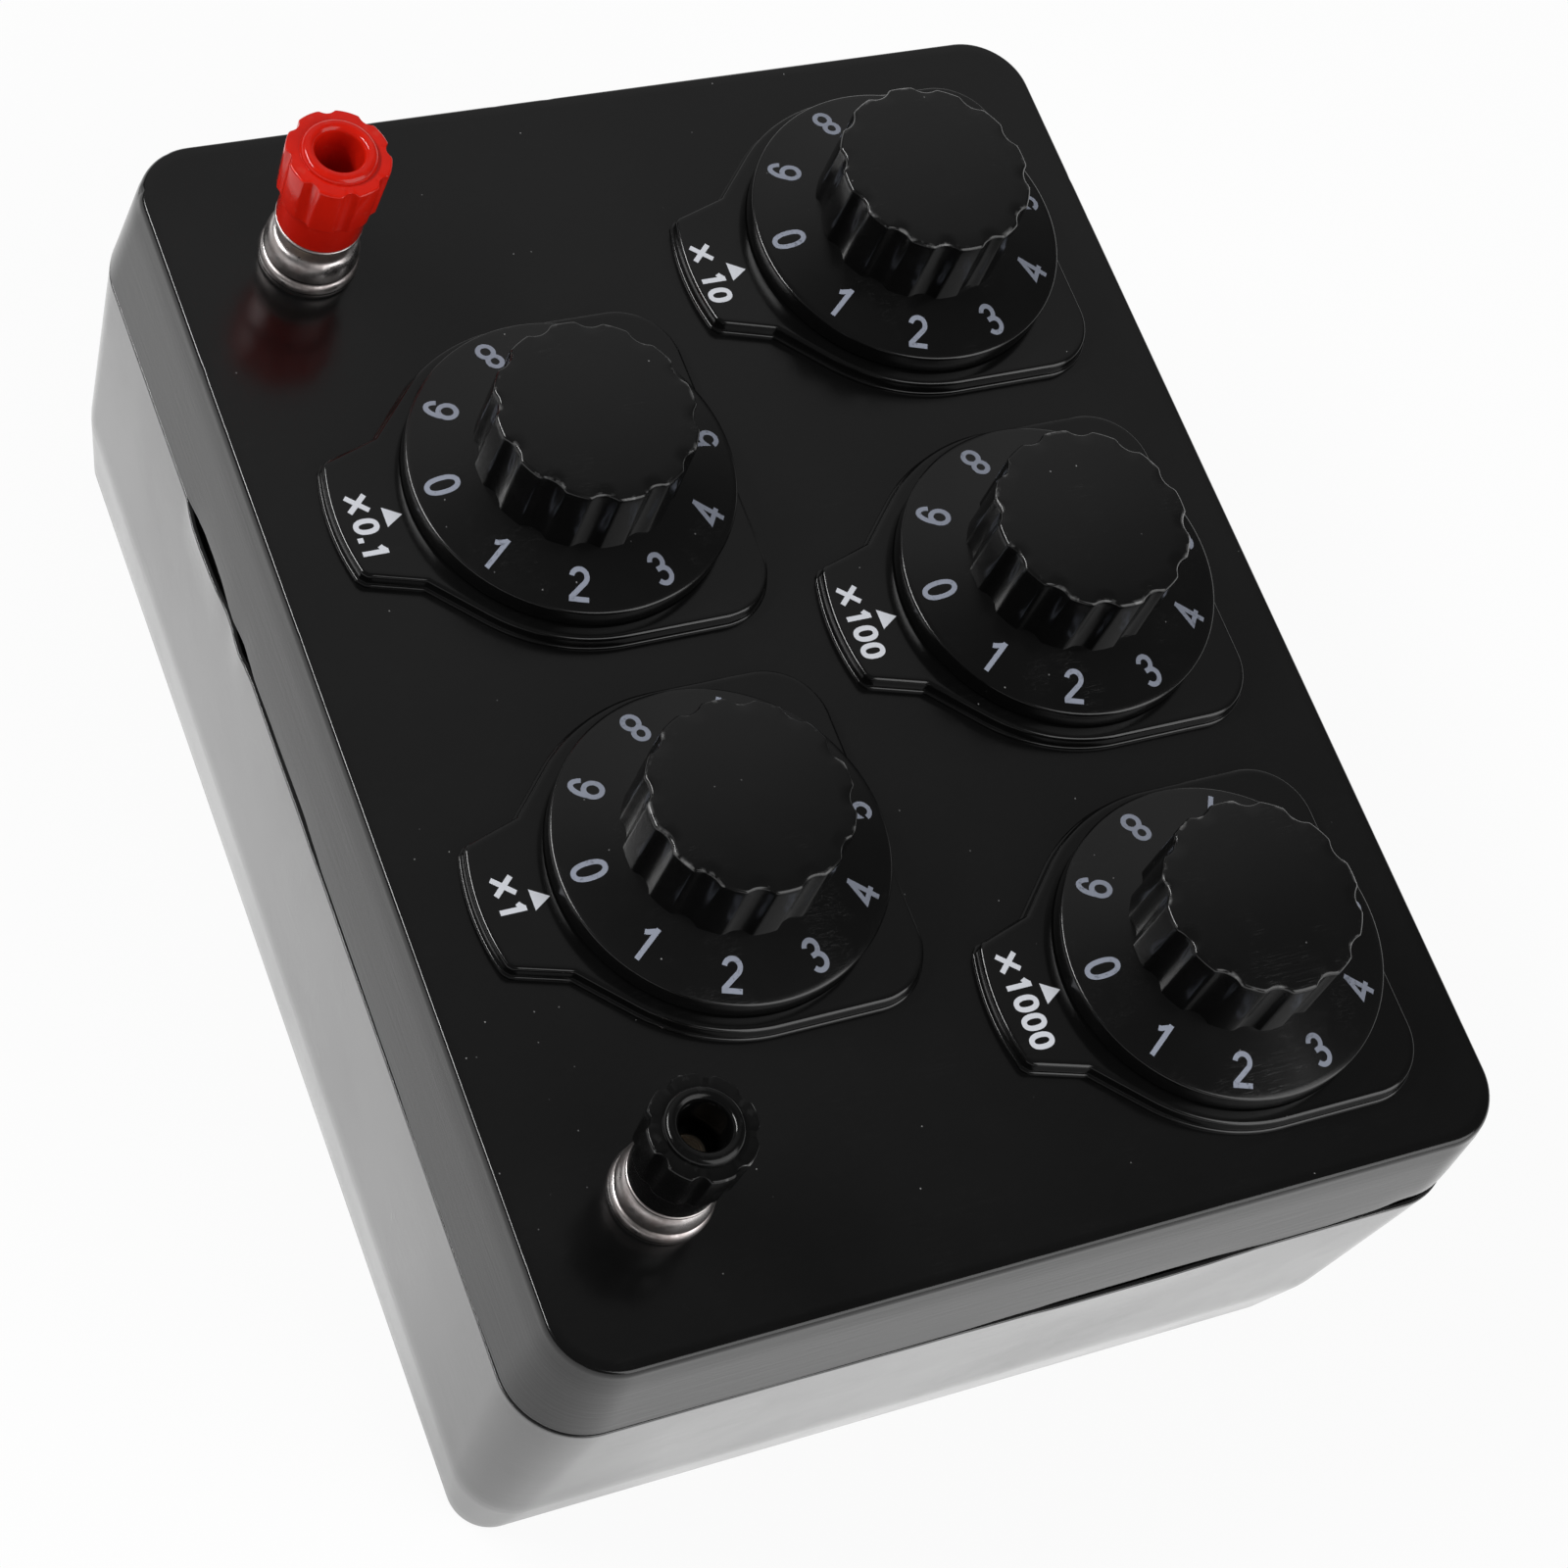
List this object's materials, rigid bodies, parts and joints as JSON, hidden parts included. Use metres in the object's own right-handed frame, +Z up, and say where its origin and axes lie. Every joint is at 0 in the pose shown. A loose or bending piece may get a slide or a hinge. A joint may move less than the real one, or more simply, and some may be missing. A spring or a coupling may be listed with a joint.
{
  "type": "resistance box",
  "caption": "Bench decade resistance box: moulded case with numbered, fluted rotary dials and a pair of screw-down binding posts.",
  "frame": {"origin": "middle of the underside of the base", "axes": "+X along the long side to the user's right, +Y away from the user, +Z up"},
  "size_m": [0.1828, 0.1384, 0.0927],
  "materials": {
    "case_black": "semi-gloss moulded",
    "plate_black": "gloss moulded",
    "knob_black": "gloss moulded",
    "post_red": "gloss moulded",
    "post_black": "satin moulded",
    "chrome": "bright plated",
    "plated_brass": "dull nickel plated",
    "brass": "machined",
    "steel": "zinc plated",
    "deck_board": "laminated board",
    "winding": "varnished winding",
    "wire_red": "sleeved"
  },
  "bodies": {
    "case": {"base_case": "case_black", "lid": "case_black", "case_screws": "steel", "tenths_plate": "plate_black", "tenths_detent_spring": "steel", "tenths_deck": "deck_board", "tenths_coils": "winding", "units_plate": "plate_black", "units_detent_spring": "steel", "units_deck": "deck_board", "units_coils": "winding", "tens_plate": "plate_black", "tens_detent_spring": "steel", "tens_deck": "deck_board", "tens_coils": "winding", "hundreds_plate": "plate_black", "hundreds_detent_spring": "steel", "hundreds_deck": "deck_board", "hundreds_coils": "winding", "thousands_plate": "plate_black", "thousands_detent_spring": "steel", "thousands_deck": "deck_board", "thousands_coils": "winding", "spindle_bushes": "brass", "bush_nuts": "steel", "contact_studs": "brass", "collector_rings": "brass", "deck_screws": "steel", "red_stud": "plated_brass", "black_stud": "plated_brass", "post_collars": "chrome", "post_nuts": "steel", "solder_lugs": "brass", "link_wires": "wire_red"},
    "tenths_dial": {"tenths_knob": "knob_black", "tenths_spindle": "steel", "tenths_wiper": "brass", "tenths_detent_wheel": "brass"},
    "units_dial": {"units_knob": "knob_black", "units_spindle": "steel", "units_wiper": "brass", "units_detent_wheel": "brass"},
    "tens_dial": {"tens_knob": "knob_black", "tens_spindle": "steel", "tens_wiper": "brass", "tens_detent_wheel": "brass"},
    "hundreds_dial": {"hundreds_knob": "knob_black", "hundreds_spindle": "steel", "hundreds_wiper": "brass", "hundreds_detent_wheel": "brass"},
    "thousands_dial": {"thousands_knob": "knob_black", "thousands_spindle": "steel", "thousands_wiper": "brass", "thousands_detent_wheel": "brass"},
    "red_clamp": {"red_washer": "chrome"},
    "red_grip": {"red_cap": "post_red", "red_insert": "plated_brass"},
    "black_clamp": {"black_washer": "chrome"},
    "black_grip": {"black_cap": "post_black", "black_insert": "plated_brass"}
  },
  "joints": [
    {"name": "tenths_turn", "type": "hinge", "parent": "case", "child": "tenths_dial", "pos_m": [-0.0285, -0.0257, 0.0694], "axis": [0, 0, 1], "continuous": true, "deforming": ["tenths_detent_spring"]},
    {"name": "units_turn", "type": "hinge", "parent": "case", "child": "units_dial", "pos_m": [0.0285, -0.0257, 0.0694], "axis": [0, 0, 1], "continuous": true, "deforming": ["units_detent_spring"]},
    {"name": "tens_turn", "type": "hinge", "parent": "case", "child": "tens_dial", "pos_m": [-0.057, 0.0356, 0.0694], "axis": [0, 0, 1], "continuous": true, "deforming": ["tens_detent_spring"]},
    {"name": "hundreds_turn", "type": "hinge", "parent": "case", "child": "hundreds_dial", "pos_m": [0, 0.0356, 0.0694], "axis": [0, 0, 1], "continuous": true, "deforming": ["hundreds_detent_spring"]},
    {"name": "thousands_turn", "type": "hinge", "parent": "case", "child": "thousands_dial", "pos_m": [0.057, 0.0356, 0.0694], "axis": [0, 0, 1], "continuous": true, "deforming": ["thousands_detent_spring"]},
    {"name": "red_lift", "type": "slide", "parent": "case", "child": "red_clamp", "axis": [0, 0, 1], "range_m": [-0.00244, 0.00256]},
    {"name": "red_screw", "type": "hinge", "parent": "red_clamp", "child": "red_grip", "pos_m": [-0.0703, -0.04785, 0.0694], "axis": [0, 0, 1], "range_deg": [-1098, 1152]},
    {"name": "black_lift", "type": "slide", "parent": "case", "child": "black_clamp", "axis": [0, 0, 1], "range_m": [0, 0.005]},
    {"name": "black_screw", "type": "hinge", "parent": "black_clamp", "child": "black_grip", "pos_m": [0.0689, -0.04785, 0.0694], "axis": [0, 0, 1], "range_deg": [0, 2250]}
  ],
  "couplings": [
    {"joint": "red_screw", "follows": "red_lift", "rad_per_m": 7854},
    {"joint": "black_screw", "follows": "black_lift", "rad_per_m": 7854}
  ]
}
